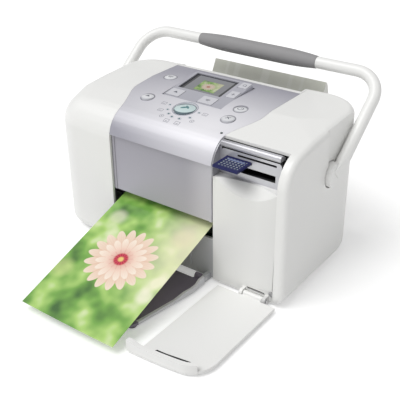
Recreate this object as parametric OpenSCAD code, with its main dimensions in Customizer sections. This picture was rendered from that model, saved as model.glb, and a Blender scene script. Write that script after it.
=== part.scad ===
// Compact photo printer: a hinged-cover office machine with a carrying handle.
// Millimetres. X to the right, Y to the rear, Z up. The table is z = 0.

/* [Body] */
// Width of the case across its side faces
body_w = 256; // [252:1:260]
// Height of the case at its rear top edge
body_h = 143; // [143:1:146]
// Thickness of the moulded walls
wall = 2.5; // [2:0.1:3]
// Radius of the rounded nose along the front top edge
nose_r = 26; // [24:1:28]
// Radius of the rear corners, seen from above
rear_r = 38; // [34:1:40]

/* [Controls] */
// Radius of the four small push buttons
small_key_r = 6; // [5:0.1:6.5]
// Radius of the large print button
print_key_r = 10; // [9:0.1:10.5]
// Travel of a pushed button
key_travel = 1; // [0.6:0.1:1.2]
// Tilt of the display above the slope of the cover at rest
lcd_rest = 7.8; // [7:0.1:9]

/* [Handle] */
// Distance from the pivots to the grip bar
handle_reach = 103; // [98:1:106]
// Radius of the handle tube
handle_tube_r = 5.5; // [5:0.1:6]
// Angle of the folded-back handle above horizontal
handle_rest = 38.2; // [36:0.1:42]
// Swing of the handle from folded back to upright
handle_swing = 55; // [40:1:60]

/* [Paper] */
// Width of a photo sheet
sheet_w = 101.6; // [89:0.1:102]
// Length of a photo sheet
sheet_l = 152.4; // [127:0.1:153]
// Slope of the sheet that lies in the exit slot
sheet_slope = 18.68; // [18:0.01:19]
// Lean of the open paper support from vertical
support_lean = 27; // [24:1:29]

/* [Doors] */
// Length of the card door from its hinge to its far end
door_l = 114; // [110:0.5:114]
// Length of the output tray from its hinge to its far end
tray_l = 90; // [86:0.5:93]

/* [Gears] */
// Teeth on the feed roller's gear
feed_teeth = 28; // [28:4:28]
// Teeth on the exit roller's gear
exit_teeth = 20; // [20:4:20]
// Teeth on the idler gear
idler_teeth = 44; // [44:4:44]
// Teeth on the motor pinion
pinion_teeth = 12; // [12:4:12]

/* [Hidden] */
half_w = body_w / 2;
front_y = -81.5;
rear_y = 57;
base_z = 1.5;
eps = 0.01;
seam = 0.25;
run = 0.05;

// centre line of the rounded nose
nose_y = front_y + nose_r;
nose_z = body_h - 7 - nose_r;
// points of the sloping top: y and the height of the surface there
top_a = [-38, body_h - 3.8];
top_b = [-15, body_h - 1.7];
top_c = [19, body_h];
// corner radii: the left side is much rounder than the right one
left_plan_r = 28;
left_ridge_r = 20;
right_plan_r = 5;
right_ridge_r = 6;
foot_edge_r = 12;

// the silver cover: a bell shape in plan, narrow at the front
cover_rear = 37;
cover_narrow = 55.5;
cover_wide = 69.6;
bell_start = -68;
bell_length = 46;
lip_z = 114.2;

// output opening in the front
slot_low = 42;
slot_high = 60;
panel_y = -78.7;

// small buttons on the cover, depth of a button's foot and height of the board under them
small_keys = [[-52.9, 4.7], [-44.2, -39.7], [44.3, -21.2], [44.4, -40.4]];
key_foot = 7.2;
board_z = 118.6;

// card bay in the right of the front
bay_left = 55.3;
bay_right = 118.6;
bezel_right = 115.4;
bay_mouth_y = -62;
slot_plate_y = -70;
ledge_z = 105;

// hinges of the door, the tray and the paper support: y and z of the axis
door_axis = [-82.5, 4.5];
tray_axis = [-84.5, 4.5];
support_axis = [61.5, 64];
cartridge_axis = [58, 10];
hinge_pin_r = 1.4;
knuckle_r = 2.7;
door_x = [66.5, 125];
// the card door's far edge is an arc about a point behind the left end of its lip
door_bow_x = 50;
door_bow_r = 400;
// half the width of the output tray by its hinge and at its far end
tray_half = 54;
tray_tip = 42.6;

// handle
handle_axis = [-7.8, 97.9];
handle_x = 132;
handle_bend = 26;
pivot_r = 4;
fan_floor = 125.8;
boss_in = 113;

// display module: front edge of its top face, depth of its hinge line under that face, outline
lcd_front = [-27, 140.2];
lcd_hinge = 2.2;
lcd_stub_r = 1.1;
lcd_axis = [lcd_front[0] + lcd_hinge * sin(lcd_rest), lcd_front[1] - lcd_hinge * cos(lcd_rest)];
lcd_x = [-36, 28.6];
lcd_l = 52.4;
lcd_t = 6;

// sheet: its far end, and the exit and feed rollers that touch it
sheet_end = [-205.1, 7.3];
sheet_t = 0.3;
exit_r = 5;
star_r = 4;
contact_y = -66;
contact_z = sheet_end[1] + (contact_y - sheet_end[0]) * tan(sheet_slope);
exit_c = [contact_y + sin(sheet_slope) * (exit_r + run), contact_z - cos(sheet_slope) * (exit_r + run)];
star_c = [contact_y - sin(sheet_slope) * (star_r + sheet_t + run),
          contact_z + cos(sheet_slope) * (star_r + sheet_t + run)];
tooth_module = 1.0;
idler_c = [exit_c[0] + tooth_module * (exit_teeth + idler_teeth) / 2, exit_c[1]];
feed_c = [idler_c[0] + tooth_module * (idler_teeth + feed_teeth) / 2, exit_c[1]];
pinion_c = [feed_c[0], feed_c[1] - tooth_module * (feed_teeth + pinion_teeth) / 2];
feed_r = 7;
shaft_r = 3;
exit_shaft_r = 2.5;
star_shaft_r = 1.5;
pickup_c = [41, 74];
pickup_r = 13;

// inner frame
plate_left = -98;
plate_right = 110;
plate_t = 1.5;
gear_x = -106;
gear_t = 5;
boss_x = 104;
boss_y = [-44, 18];
foot_x = 84;
foot_y = [-50, 30];
foot_r = 7;
guide_c = [-28, 88];
guide_r = 4;
carriage_w = 56;
carriage_x = 78;
belt_y = -3;
belt_z = 92;
belt_t = 0.8;
pulley_r = 6;
pulley_x = [-86, 96];

// height of the case's top surface at y
function top_z(y) =
    y < nose_y - 4 ? nose_z + sqrt(max(0, pow(nose_r, 2) - pow(y - nose_y, 2)))
    : y < top_a[0] ? lookup(y, [[nose_y - 4, nose_z + sqrt(pow(nose_r, 2) - 16)], top_a])
    : lookup(y, [top_a, top_b, top_c]);

// half the width of the silver cover at y: a smooth bell between two straight stretches
function bell(y) = let (t = min(1, max(0, (y - bell_start) / bell_length)))
    cover_narrow + (cover_wide - cover_narrow) * t * t * (3 - 2 * t);

// a disc section that stays on one side of its axis
module half_disc(offset_r, r) {
    intersection() {
        translate([offset_r, 0]) circle(r, $fn = 28);
        translate([0, -r]) square([offset_r + r, 2 * r]);
    }
}

// a rounded disc: plan radius R, edge radius r
module rounded_disc(plan, edge, inset) {
    rotate_extrude($fn = 40) half_disc(plan - edge, edge - inset);
}

module ball(r) {
    sphere(r, $fn = 28);
}

// the whole outer form of the case, shrunk by inset
module body_form(inset = 0) {
    hull() {
        translate([-half_w + left_plan_r, front_y + left_plan_r, nose_z])
            rounded_disc(left_plan_r, nose_r, inset);
        translate([-half_w + left_plan_r, front_y + left_plan_r, base_z + foot_edge_r])
            rounded_disc(left_plan_r, foot_edge_r, inset);
        translate([half_w - right_plan_r, nose_y, nose_z])
            rotate([0, 90, 0]) rounded_disc(nose_r, right_plan_r, inset);
        translate([half_w - foot_edge_r, front_y + right_plan_r, base_z + foot_edge_r])
            rotate([90, 0, 0]) rounded_disc(foot_edge_r, right_plan_r, inset);
        for (p = [top_a, top_b]) {
            translate([-half_w + left_ridge_r, p[0], p[1] - left_ridge_r]) ball(left_ridge_r - inset);
            translate([half_w - right_ridge_r, p[0], p[1] - right_ridge_r]) ball(right_ridge_r - inset);
        }
        for (side = [-1, 1]) {
            translate([side * (half_w - rear_r), rear_y - rear_r, base_z + foot_edge_r])
                rounded_disc(rear_r, foot_edge_r, inset);
        }
        translate([-half_w + rear_r, rear_y - rear_r, body_h - left_ridge_r])
            rounded_disc(rear_r, left_ridge_r, inset);
        translate([half_w - rear_r, rear_y - rear_r, body_h - right_ridge_r])
            rounded_disc(rear_r, right_ridge_r, inset);
    }
}

module body_shell() {
    difference() {
        body_form(0);
        body_form(wall);
    }
}

// plan of the silver cover and of everything between the two side shells
module bell_plan(grow, rear) {
    steps = [for (i = [0 : 12]) bell_start + bell_length * i / 12];
    right = [for (y = steps) [bell(y) + grow, y]];
    left = [for (i = [12 : -1 : 0]) [-bell(steps[i]) - grow, steps[i]]];
    polygon(concat([[-cover_narrow - grow, -100], [cover_narrow + grow, -100]], right,
                   [[cover_wide + grow, rear], [-cover_wide - grow, rear]], left));
}

// sector of the side face that the handle's arm sweeps, drawn in y and z
module fan_plan(grow) {
    a0 = handle_rest;
    a1 = handle_rest + handle_swing;
    w = handle_tube_r + 1 + grow;
    far = 130;
    low = [sin(a0) * w, -cos(a0) * w];
    high = [-sin(a1) * w, cos(a1) * w];
    mid = (a0 + a1) / 2;
    translate(handle_axis) {
        polygon([low, low + far * [cos(a0), sin(a0)], far * 1.3 * [cos(mid), sin(mid)],
                 high + far * [cos(a1), sin(a1)], high]);
        circle(12.3 + grow, $fn = 64);
    }
}

// stands a y-z drawing up and extrudes it from x0 to x1
module along_x(x0, x1) {
    translate([x0, 0, 0]) rotate([90, 0, 90]) linear_extrude(x1 - x0) children();
}

// cylinder along X between x0 and x1, at [y, z]
module rod(c, r, x0, x1) {
    translate([x0, c[0], c[1]]) rotate([0, 90, 0]) cylinder(r = r, h = x1 - x0, $fn = 48);
}

// cylinder along X with a rounded rim at its outer end
module cap(c, r, x0, x1) {
    edge = 1;
    rod(c, r, x0, x1 - edge);
    rod(c, r - edge, x0, x1);
    translate([x1 - edge, c[0], c[1]]) rotate([0, 90, 0])
        rotate_extrude($fn = 48) translate([r - edge, 0]) circle(edge, $fn = 24);
}

// plate with round corners, drawn in x and y
module round_plate(x, y, r) {
    difference() {
        translate([x[0], y[0]]) square([x[1] - x[0], y[1] - y[0]]);
        for (cx = [0, 1], cy = [0, 1]) {
            translate([x[cx], y[cy]]) mirror([cx, 0]) mirror([0, cy]) difference() {
                translate([-1, -1]) square(r + 1);
                translate([r, r]) circle(r, $fn = 32);
            }
        }
    }
}

// one side shell: s is -1 for the left and 1 for the right
module side_shell(s) {
    difference() {
        union() {
            intersection() {
                body_shell();
                translate([s > 0 ? 0 : -200, -150, -10]) cube([200, 300, 200]);
            }
            intersection() {
                body_form(0);
                mirror([s > 0 ? 0 : 1, 0]) along_x(fan_floor - wall, fan_floor + 1) fan_plan(2);
            }
            mirror([s > 0 ? 0 : 1, 0]) rod(handle_axis, 8, boss_in, fan_floor);
        }
        translate([0, 0, -10]) linear_extrude(200) bell_plan(seam, 100);
        mirror([s > 0 ? 0 : 1, 0]) {
            along_x(fan_floor, 150) fan_plan(0);
            rod(handle_axis, 12.3, 124.9, 150);
            rod(handle_axis, pivot_r + run, 100, 150);
        }
        bottom_room();
    }
}

// space cut from the shells for the bottom case
module bottom_room() {
    translate([0, 0, -1]) linear_extrude(1 + base_z + wall + 0.6) round_plate([-112, 112], [-64, 43], 10);
}

module left_side_shell() {
    color("whitesmoke") difference() {
        side_shell(-1);
        // hole of the power inlet
        translate([-78.5, 50, 17.5]) rotate([-90, 0, 0]) cylinder(r = 4.4, h = 10, $fn = 40);
    }
}

module right_side_shell() {
    color("whitesmoke") difference() {
        side_shell(1);
        // card bay and the recess of its front panel
        translate([bay_left - 5, front_y - 5, -5])
            cube([bay_right - bay_left + 5, bay_mouth_y - front_y + 5, 160]);
        // hole of the data socket
        translate([71.6, 50, 11.6]) cube([13.2, 10, 12.2]);
    }
}

module bottom_case() {
    color("gainsboro") difference() {
        union() {
            translate([0, 0, base_z]) linear_extrude(wall) round_plate([-111.7, 111.7], [-63.7, 42.7], 9.7);
            translate([-54.8, -74.5, base_z]) cube([109.6, 14, wall]);
            // low rim that locates the side shells
            translate([0, 0, base_z + wall - eps]) linear_extrude(3) difference() {
                round_plate([-109, 109], [-61, 40], 8);
                round_plate([-107, 107], [-59, 38], 6);
            }
            // raised pad in the middle of the underside
            translate([-35, -25, base_z - 0.3]) cube([70, 50, 1]);
            for (x = [-boss_x, boss_x]) for (y = boss_y)
                translate([x, y, base_z]) cylinder(r = 4, h = 9, $fn = 32);
        }
        for (x = [-boss_x, boss_x]) for (y = boss_y)
            translate([x, y, base_z - 1]) cylinder(r = 1.7, h = 12, $fn = 24);
        for (x = [-foot_x, foot_x]) for (y = foot_y)
            translate([x, y, base_z - eps]) cylinder(r = foot_r + 0.2, h = 1, $fn = 40);
        // rim is open in front, where the exit path is
        translate([-54, -64, base_z + wall]) cube([108, 8, 10]);
    }
}

module rubber_feet() {
    color("dimgray") for (x = [-foot_x, foot_x]) for (y = foot_y)
        translate([x, y, 0]) cylinder(r = foot_r, h = base_z + 0.95, $fn = 40);
}

module case_screws() {
    color("silver") for (x = [-boss_x, boss_x]) for (y = boss_y) translate([x, y, 0]) {
        translate([0, 0, base_z - 0.6]) cylinder(r = 3, h = 0.6, $fn = 32);
        translate([0, 0, base_z - 0.1]) cylinder(r = 1.6, h = 11, $fn = 24);
    }
}

module top_cover() {
    well = 0.5;
    well_front = 2.2;
    color([0.72, 0.71, 0.76]) difference() {
        union() {
            intersection() {
                body_shell();
                translate([0, 0, lip_z]) linear_extrude(60) bell_plan(0, cover_rear);
            }
            // ears under the cover that carry the display's hinge stubs
            for (x = [lcd_x[0] - well - 2.2, lcd_x[1] + well])
                translate([x, lcd_axis[0] - 2.4, lcd_axis[1] - 2.4]) cube([2.2, 4.8, 3.4]);
        }
        rod(lcd_axis, lcd_stub_r + run, lcd_x[0] - 4, lcd_x[1] + 4);
        // well of the display
        translate([lcd_x[0] - well, lcd_front[0] - well_front, 100])
            cube([lcd_x[1] - lcd_x[0] + 2 * well, lcd_l + well_front, 60]);
        translate([0, -42, 100]) cylinder(r = print_key_r + 0.3, h = 60, $fn = 64);
        for (p = small_keys) translate([p[0], p[1], 100]) cylinder(r = small_key_r + 0.3, h = 60, $fn = 48);
        translate([51.7, -60.5, 100]) cylinder(r = 1.25, h = 60, $fn = 24);
    }
}

// a button that stands through the cover: a domed cap on a wider foot
module push_button(p, r) {
    z = top_z(p[1]);
    translate([p[0], p[1], 0]) {
        translate([0, 0, z - 5.5]) cylinder(r = r, h = 6, $fn = 48);
        intersection() {
            translate([0, 0, z + 0.4]) cylinder(r = r, h = 3, $fn = 48);
            translate([0, 0, z + 1.6 - 4 * r]) sphere(r = 4 * r, $fn = 96);
        }
        translate([0, 0, z - key_foot]) cylinder(r = r + 1.2, h = 2, $fn = 48);
    }
}

module print_button() { color([0.75, 0.85, 0.86]) push_button([0, -42], print_key_r); }
module button_rear_left() { color("gainsboro") push_button(small_keys[0], small_key_r); }
module button_front_left() { color("gainsboro") push_button(small_keys[1], small_key_r); }
module power_button() { color("gainsboro") push_button(small_keys[2], small_key_r); }
module button_front_right() { color("gainsboro") push_button(small_keys[3], small_key_r); }

module status_lens() {
    color("darkslategray") translate([51.7, -60.5, top_z(-60.5) - 6]) {
        cylinder(r = 1.15, h = 6.3, $fn = 24);
        cylinder(r = 2, h = 2, $fn = 24);
    }
}

module control_board() {
    color("darkgreen") difference() {
        translate([-60, -62, board_z - 1.6]) cube([120, 92, 1.6]);
        translate([-38, -12, 110]) cube([60, 20, 20]);
    }
    // tact switches under the buttons
    color("black") for (p = concat(small_keys, [[0, -42]])) {
        top = top_z(p[1]) - key_foot - key_travel - 0.2;
        translate([p[0] - 3, p[1] - 3, board_z - eps]) cube([6, 6, top - board_z]);
    }
}

// display module, drawn flat: its top face is z = 0 and its front edge lies just before y = 0
module lcd_place() {
    translate([0, lcd_front[0], lcd_front[1]]) rotate([lcd_rest, 0, 0]) children();
}

menu_keys = [[-34.4, -20.2], [0.8, 16.4]];
menu_y = [1, 13];
key_gap = 0.3;
zoom_keys = [[20, 32], [40, 50.5]];
zoom_x = [18.4, 27.4];

module lcd_frame() {
    color([0.75, 0.74, 0.78]) lcd_place() difference() {
        union() {
            translate([0, 0, -lcd_t]) linear_extrude(lcd_t) round_plate(lcd_x, [-1, lcd_l - 1], 3);
            for (x = [lcd_x[0] - 2.4, lcd_x[1] - 1]) rod([0, -lcd_hinge], lcd_stub_r, x, x + 3.4);
            // solid corners where the stubs start
            for (x = [lcd_x[0], lcd_x[1] - 3]) translate([x, -1, -lcd_t]) cube([3, 4, lcd_t - 1]);
        }
        // window, room for the glass and the key shafts
        translate([-32.6, 17.4, -1.2]) cube([47.2, 31.6, 3]);
        translate([-34.6, 15.4, -lcd_t - 1]) cube([51.2, 35.6, lcd_t - 1.2 + 1]);
        for (k = menu_keys) translate([k[0] - key_gap, menu_y[0] - key_gap, -lcd_t - 1])
            cube([k[1] - k[0] + 2 * key_gap, menu_y[1] - menu_y[0] + 2 * key_gap, 20]);
        for (k = zoom_keys) translate([zoom_x[0] - key_gap, k[0] - key_gap, -lcd_t - 1])
            cube([zoom_x[1] - zoom_x[0] + 2 * key_gap, k[1] - k[0] + 2 * key_gap, 20]);
    }
}

module lcd_screen() {
    color([0.25, 0.25, 0.28]) lcd_place() translate([-34.4, 15.6, -4.6]) cube([50.8, 35.2, 3.3]);
}

// flat key of the display module
module flat_key(x, y) {
    lcd_place() translate([x[0], y[0], -4]) cube([x[1] - x[0], y[1] - y[0], 4.5]);
}

module menu_key_left() { color("gainsboro") flat_key(menu_keys[0], menu_y); }
module menu_key_right() { color("gainsboro") flat_key(menu_keys[1], menu_y); }
module zoom_key_front() { color("gainsboro") flat_key(zoom_x, zoom_keys[0]); }
module zoom_key_rear() { color("gainsboro") flat_key(zoom_x, zoom_keys[1]); }

module front_panel() {
    color([0.62, 0.61, 0.67]) {
        translate([-58, panel_y, slot_high]) cube([58 + cover_narrow - 0.6, wall, lip_z - slot_high]);
        // pads against the left shell and the bay panel, which hold it
        translate([-58, front_y + wall, slot_high + 4]) cube([2, 0.4, 40]);
        translate([53, -76.4, slot_high + 2]) cube([5, 1.4, 24]);
        // lower edge turns inwards over the exit slot
        translate([-cover_narrow + 0.6, panel_y, slot_high]) cube([2 * cover_narrow - 1.2, 7, 2]);
        for (s = [-1, 1]) translate([s * 53.4 - 1.2, panel_y - 0.6, slot_high]) cube([2.4, 1, 54.1]);
    }
}

module lower_front_wall() {
    color("lightgray") {
        translate([-cover_narrow + 0.1, -77, 1.8]) cube([2 * cover_narrow - 0.7, wall, slot_low - 1.8]);
        translate([-58, -77, 12]) cube([4, wall, slot_low - 12]);
        for (x = [-30, 30]) translate([x - 1, -78.2, 8]) cube([2, 1.4, slot_low - 12]);
        // lugs of the tray's hinge
        for (s = [-1, 1]) difference() {
            union() {
                rod(tray_axis, 3.6, s * 50.8 - 1.6, s * 50.8 + 1.6);
                translate([s * 50.8 - 1.6, tray_axis[0], tray_axis[1] - 3.6]) cube([3.2, 9, 7.2]);
            }
            rod(tray_axis, hinge_pin_r + 0.02, s * 50.8 - 3, s * 50.8 + 3);
        }
    }
}

// bay panel: a plate with a round scoop at its top edge and the door's lugs at its foot
module right_front_panel() {
    scoop_r = 76;
    color("gainsboro") difference() {
        union() {
            translate([bay_left + 0.6, -79, 2.2]) cube([bay_right - bay_left - 1, 2.6, 86]);
            translate([bay_left + 0.6, -79, 88]) cube([bay_right - bay_left - 1, 12, ledge_z - 88]);
            translate([bay_left + 0.6, -79, 2.2]) cube([bay_right - bay_left - 1, 14.6, 2.4]);
            for (x = [89, 111.8]) {
                rod(door_axis, 3.6, x - 1.6, x + 1.6);
                translate([x - 1.6, door_axis[0], door_axis[1] - 3.6]) cube([3.2, 6, 7.2]);
            }
        }
        translate([88, -79 - 62.9, 136]) sphere(r = scoop_r, $fn = 120);
        for (x = [89, 111.8]) rod(door_axis, hinge_pin_r + 0.02, x - 3, x + 3);
        // slot behind the door's knuckle, and the seat of the screw
        translate([91.5, -82, 6.6]) cube([17.6, 10, 2.6]);
        translate([door_screw_c[0], -79 - eps, door_screw_c[1]]) rotate([-90, 0, 0])
            cylinder(r = 1.1, h = 10, $fn = 24);
    }
}

door_screw_c = [115.8, 11];

module door_screw() {
    color("silver") translate([door_screw_c[0], -79, door_screw_c[1]]) rotate([90, 0, 0]) difference() {
        union() {
            cylinder(r = 2.2, h = 1.1, $fn = 32);
            translate([0, 0, -7]) cylinder(r = 1.05, h = 7.1, $fn = 24);
        }
        translate([0, 0, 0.5]) cylinder(r = 1, h = 2, $fn = 6);
    }
}

// card slots: low-left corner x, z and size, in the order small, middle and large
card_slots = [[74, 124, 36.7, 1.8], [63.2, 119.65, 24.6, 2.7], [66, 110.4, 44, 6]];

module card_bay_bezel() {
    color([0.7, 0.7, 0.74]) difference() {
        union() {
            // slot plate
            translate([0, slot_plate_y + 3, 0]) rotate([90, 0, 0]) linear_extrude(3)
                round_plate([58.2, bezel_right], [ledge_z, 128], 3);
            // rolled bar above it
            rod([slot_plate_y + 3.2, 130.6], 3.2, 57, bezel_right - 1.6);
            translate([57, slot_plate_y + 3.2, 128]) cube([bezel_right - 58.6, 4.6, 3]);
            // cheek that closes the bay on its left
            intersection() {
                body_form(0.6);
                translate([bay_left + 0.4, front_y, ledge_z]) cube([1.1, 14.3, 32]);
            }
            translate([bay_left + 0.4, slot_plate_y, ledge_z]) cube([3, 3, 24]);
        }
        for (s = card_slots) translate([s[0], slot_plate_y - 1, s[1]]) cube([s[2], 6, s[3]]);
    }
}

module card_reader() {
    color("dimgray") difference() {
        translate([61, slot_plate_y + 3.2, 107.3]) cube([52, 42, 19.8]);
        for (s = card_slots) translate([s[0], slot_plate_y, s[1]])
            cube([s[2], s == card_slots[1] ? 16 : 38, s[3]]);
    }
    color("darkgreen") translate([58, slot_plate_y + 3.4, 105.8]) cube([58, 46, 1.6]);
}

module memory_card() {
    card = [24, 32, 2.1];
    color("midnightblue") translate([63.5, slot_plate_y - 20.5, 119.95]) difference() {
        cube(card);
        translate([card[0], card[1], 0]) rotate([0, 0, 45]) cube([5.6, 5.6, 5], center = true);
        translate([3, 4, card[2] - 0.2]) cube([18, 15, 1]);
    }
}

module rear_housing() {
    half = cover_wide - 0.1;
    color("whitesmoke") difference() {
        union() {
            intersection() {
                body_shell();
                translate([-half, cover_rear + 0.3, base_z]) cube([2 * half, 60, 160]);
            }
            // lugs of the cartridge door's pins
            for (x = [-46.6, -33.4, 33.4, 46.6]) {
                rod(cartridge_axis, 2.6, x - 1, x + 1);
                translate([x - 1, rear_y - wall, 3.5]) cube([2, wall + 1, cartridge_axis[1] - 3.5]);
            }
        }
        // window of the paper support
        translate([-67.6, cover_rear + 5, 50]) cube([135.2, 60, 120]);
        // opening of the cartridge door
        translate([-58, rear_y - 8, 7]) cube([116, 6.8, 36]);
        translate([-58, rear_y - 8, 13.2]) cube([116, 20, 29.8]);
        for (x = [-46.6, -33.4, 33.4, 46.6]) rod(cartridge_axis, hinge_pin_r + 0.02, x - 2, x + 2);
        for (s = [-1, 1]) {
            rod(cartridge_axis, 3, s * 40 - 5.4, s * 40 + 5.4);
            translate([s * 40 - 5.4, rear_y - 6, cartridge_axis[1]]) cube([10.8, 10, 4]);
        }
        bottom_room();
    }
}

// drawn upright, with its hinge line at y = 0, z = 0
module support_place() {
    translate([0, support_axis[0], support_axis[1]]) rotate([-support_lean, 0, 0]) children();
}

support_half = 65;
support_h = 79.2;

module paper_support() {
    flange = 14;
    bow_r = 28;
    bow_z = support_h - 24;
    color([0.72, 0.75, 0.7], 0.8) support_place() difference() {
        union() {
            translate([-support_half, -1.2, 0]) cube([2 * support_half, 2.4, support_h]);
            // ribs on its rear face
            for (x = [-48 : 16 : 48]) translate([x - 0.8, 1, 2]) cube([1.6, 1.8, support_h - 4]);
            // curved wings, one on each side
            for (s = [-1, 1]) along_x(s * (support_half - 0.8) - 0.8, s * (support_half - 0.8) + 0.8)
                difference() {
                    polygon([[0, 12], [6, 12], [flange, 24],
                             [flange, support_h - 0.2], [0, support_h - 0.2]]);
                    translate([flange - bow_r, bow_z]) difference() {
                        square(bow_r + 1);
                        circle(bow_r, $fn = 180);
                    }
                }
            for (s = [-1, 1]) rod([0, 0], 2.8, s * 59 - 4, s * 59 + 4);
        }
        for (s = [-1, 1]) rod([0, 0], hinge_pin_r + run, s * 59 - 6, s * 59 + 6);
        // slot of the edge guide
        translate([-58, -3, 10]) cube([22, 8, 4]);
    }
}

module edge_guide() {
    color("lightgray") support_place() {
        translate([-56, -8.4, 6]) cube([2, 7, 30]);
        translate([-56, -3.2, 6]) cube([9, 1.8, 12]);
        translate([-55, -1.6, 10.4]) cube([6, 4, 3.2]);
    }
}

// sloping floor that carries the sheets down to the feed roller, with a cheek at each end
module hopper_guide() {
    half = support_half + 0.3;
    cheek_t = 1.6;
    color("dimgray") {
        translate([0, support_axis[0] - 4.4, support_axis[1]]) rotate([-support_lean, 0, 0]) {
            translate([-half, -2, -36]) cube([2 * half, 2, 19]);
            for (x = [-40, 0, 40]) translate([x - 1, -3.5, -35]) cube([2, 1.6, 17]);
        }
        for (s = [-1, 1]) difference() {
            along_x(s * (half + 1.2) - cheek_t / 2, s * (half + 1.2) + cheek_t / 2)
                polygon([[40, 31], [46, 31], [53, 48], [54, 55], [66, 60], [66, 68], [57, 68], [40, 50]]);
            rod(support_axis, hinge_pin_r + 0.02, s * (half + 1.2) - 2, s * (half + 1.2) + 2);
        }
    }
}

module cartridge_door() {
    color("whitesmoke") difference() {
        union() {
            translate([-57.6, rear_y - wall, cartridge_axis[1] + 3.6]) cube([115.2, wall, 29]);
            for (s = [-1, 1]) {
                rod(cartridge_axis, 2.6, s * 40 - 5, s * 40 + 5);
                translate([s * 40 - 5, rear_y - wall, cartridge_axis[1]]) cube([10, wall, 5]);
            }
            translate([-12, rear_y - wall - 1.4, 34]) cube([24, 1.5, 3]);
        }
        for (s = [-1, 1]) rod(cartridge_axis, hinge_pin_r + run, s * 40 - 8, s * 40 + 8);
        translate([-12, rear_y - 1, 33]) cube([24, 3, 6]);
    }
}

module ink_cartridge() {
    color([0.2, 0.2, 0.22]) difference() {
        translate([-46, 16, 9.2]) cube([92, 36.5, 14]);
        for (x = [-36 : 12 : 36])
            translate([x, 15, 13]) rotate([-90, 0, 0]) cylinder(r = 1.6, h = 8, $fn = 24);
    }
    color("khaki") translate([-20, 52.4, 12]) cube([40, 1, 8]);
}

// plan of the tray, shrunk by inset: straight by the hinge, then narrower to a round-cornered end
module tray_plan(inset = 0) {
    far = tray_axis[0] - tray_l;
    near = tray_axis[0] - 4.2;
    waist = far + 68.5;
    corner = 6;
    steps = 5;
    taper = atan2(tray_half - tray_tip, waist - far);
    centre = [tray_half - (waist - far - corner) * tan(taper) - corner / cos(taper), far + corner];
    turns = [for (i = [0 : steps]) -taper - (90 - taper) * i / steps];
    round_end = [for (t = turns) centre + (corner - inset) * [cos(t), sin(t)]];
    right = concat([[tray_half - inset, near], [tray_half - inset, waist]], round_end);
    left = [for (i = [len(right) - 1 : -1 : 0]) [-right[i][0], right[i][1]]];
    polygon(concat(right, left));
}

module output_tray() {
    rim = 2.6;
    near = tray_axis[0] - 4.2;
    color([0.35, 0.33, 0.37]) difference() {
        union() {
            translate([0, 0, 1.8]) linear_extrude(2) tray_plan();
            intersection() {
                linear_extrude(20) difference() {
                    tray_plan();
                    tray_plan(rim);
                }
                tray_wall(near);
            }
            for (s = [-1, 1]) {
                rod(tray_axis, knuckle_r, s * 45 - 3.8, s * 45 + 3.8);
                translate([s * 45 - 3.8, near - 1, 1.8]) cube([7.6, 5.2, 2]);
            }
        }
        for (s = [-1, 1]) rod(tray_axis, hinge_pin_r + run, s * 45 - 6, s * 45 + 6);
    }
}

// side view of the tray's wall: high by the hinge, two steps down, then low to the far end
module tray_wall(near) {
    far = near - 100;
    along_x(-60, 60) polygon([[near - 0.4, 1.8], [near - 0.4, 9.6], [near - 6, 9.6], [near - 11, 6.8],
                              [near - 26, 6.8], [near - 37, 4.8], [far, 4.8], [far, 1.8]]);
}

module tray_feet() {
    color([0.25, 0.25, 0.27]) for (s = [-1, 1])
        translate([s * (tray_tip - 4), tray_axis[0] - tray_l + 6, 0.2]) cylinder(r = 4, h = 1.6, $fn = 32);
}

// plan of the card door's bowed outline, shrunk by inset at its far edge
module door_bow(inset) {
    translate([door_bow_x, door_axis[0] - door_l + door_bow_r]) circle(door_bow_r - inset, $fn = 360);
}

module card_door() {
    start_y = door_axis[0] - 4.2;
    plate = [2.4, 5];
    corner = 22;
    lip_x = [57.2, 118.4];
    lip_t = 4;
    inset = 0.6;
    bow_y = door_axis[0] - door_l + door_bow_r;
    corner_x = door_x[1] - corner;
    corner_y = bow_y - sqrt(pow(door_bow_r - corner, 2) - pow(corner_x - door_bow_x, 2));
    // the bow and the round corner meet on the line through their centres
    from = asin((lip_x[0] - door_bow_x) / door_bow_r);
    meet = atan2(corner_x - door_bow_x, bow_y - corner_y);
    to = asin((lip_x[1] - corner_x) / corner);
    color("gainsboro") difference() {
        union() {
            translate([0, 0, plate[0]]) linear_extrude(plate[1] - plate[0]) intersection() {
                door_bow(inset);
                difference() {
                    translate([door_x[0], start_y - 120]) square([door_x[1] - inset - door_x[0], 120]);
                    translate([corner_x, corner_y]) rotate(-90) difference() {
                        square(30);
                        circle(corner - inset, $fn = 90);
                    }
                }
            }
            // lip along the far edge and round its corner, with a low horn at its left end
            intersection() {
                union() {
                    translate([door_bow_x, bow_y, 0]) rotate(from - 90)
                        rotate_extrude(angle = meet - from, $fn = 360) lip_section(door_bow_r, lip_t);
                    translate([corner_x, corner_y, 0]) rotate(meet - 90)
                        rotate_extrude(angle = to - meet, $fn = 90) lip_section(corner, lip_t);
                }
                translate([0, start_y, 0]) rotate([90, 0, 0]) linear_extrude(120)
                    polygon([[0, 0], [0, 13.4], [62, 12.8], [69, 11],
                             [lip_x[1] - 1.5, 11], [140, 8], [140, 0]]);
            }
            rod(door_axis, knuckle_r, 91.2, 109.6);
            translate([91.2, start_y - 1, plate[0]]) cube([18.4, 5.2, 2.3]);
        }
        rod(door_axis, hinge_pin_r + run, 90, 111);
        // latch slot behind the lip, wide at its left end
        translate([0, 0, 3.4]) linear_extrude(5)
            polygon([[75.4, -189], [78, -184.2], [86, -183.7], [108, -180.4],
                     [108, -181.6], [88, -186], [86, -189]]);
    }
}

// section of the lip, round at its foot, with its outer face at radius r
module lip_section(r, t) {
    foot = 2.4;
    difference() {
        translate([r - t, 1]) square([t, 13]);
        translate([r - foot, 1 + foot]) rotate(-90) difference() {
            square(5);
            circle(foot, $fn = 90);
        }
    }
}

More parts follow.
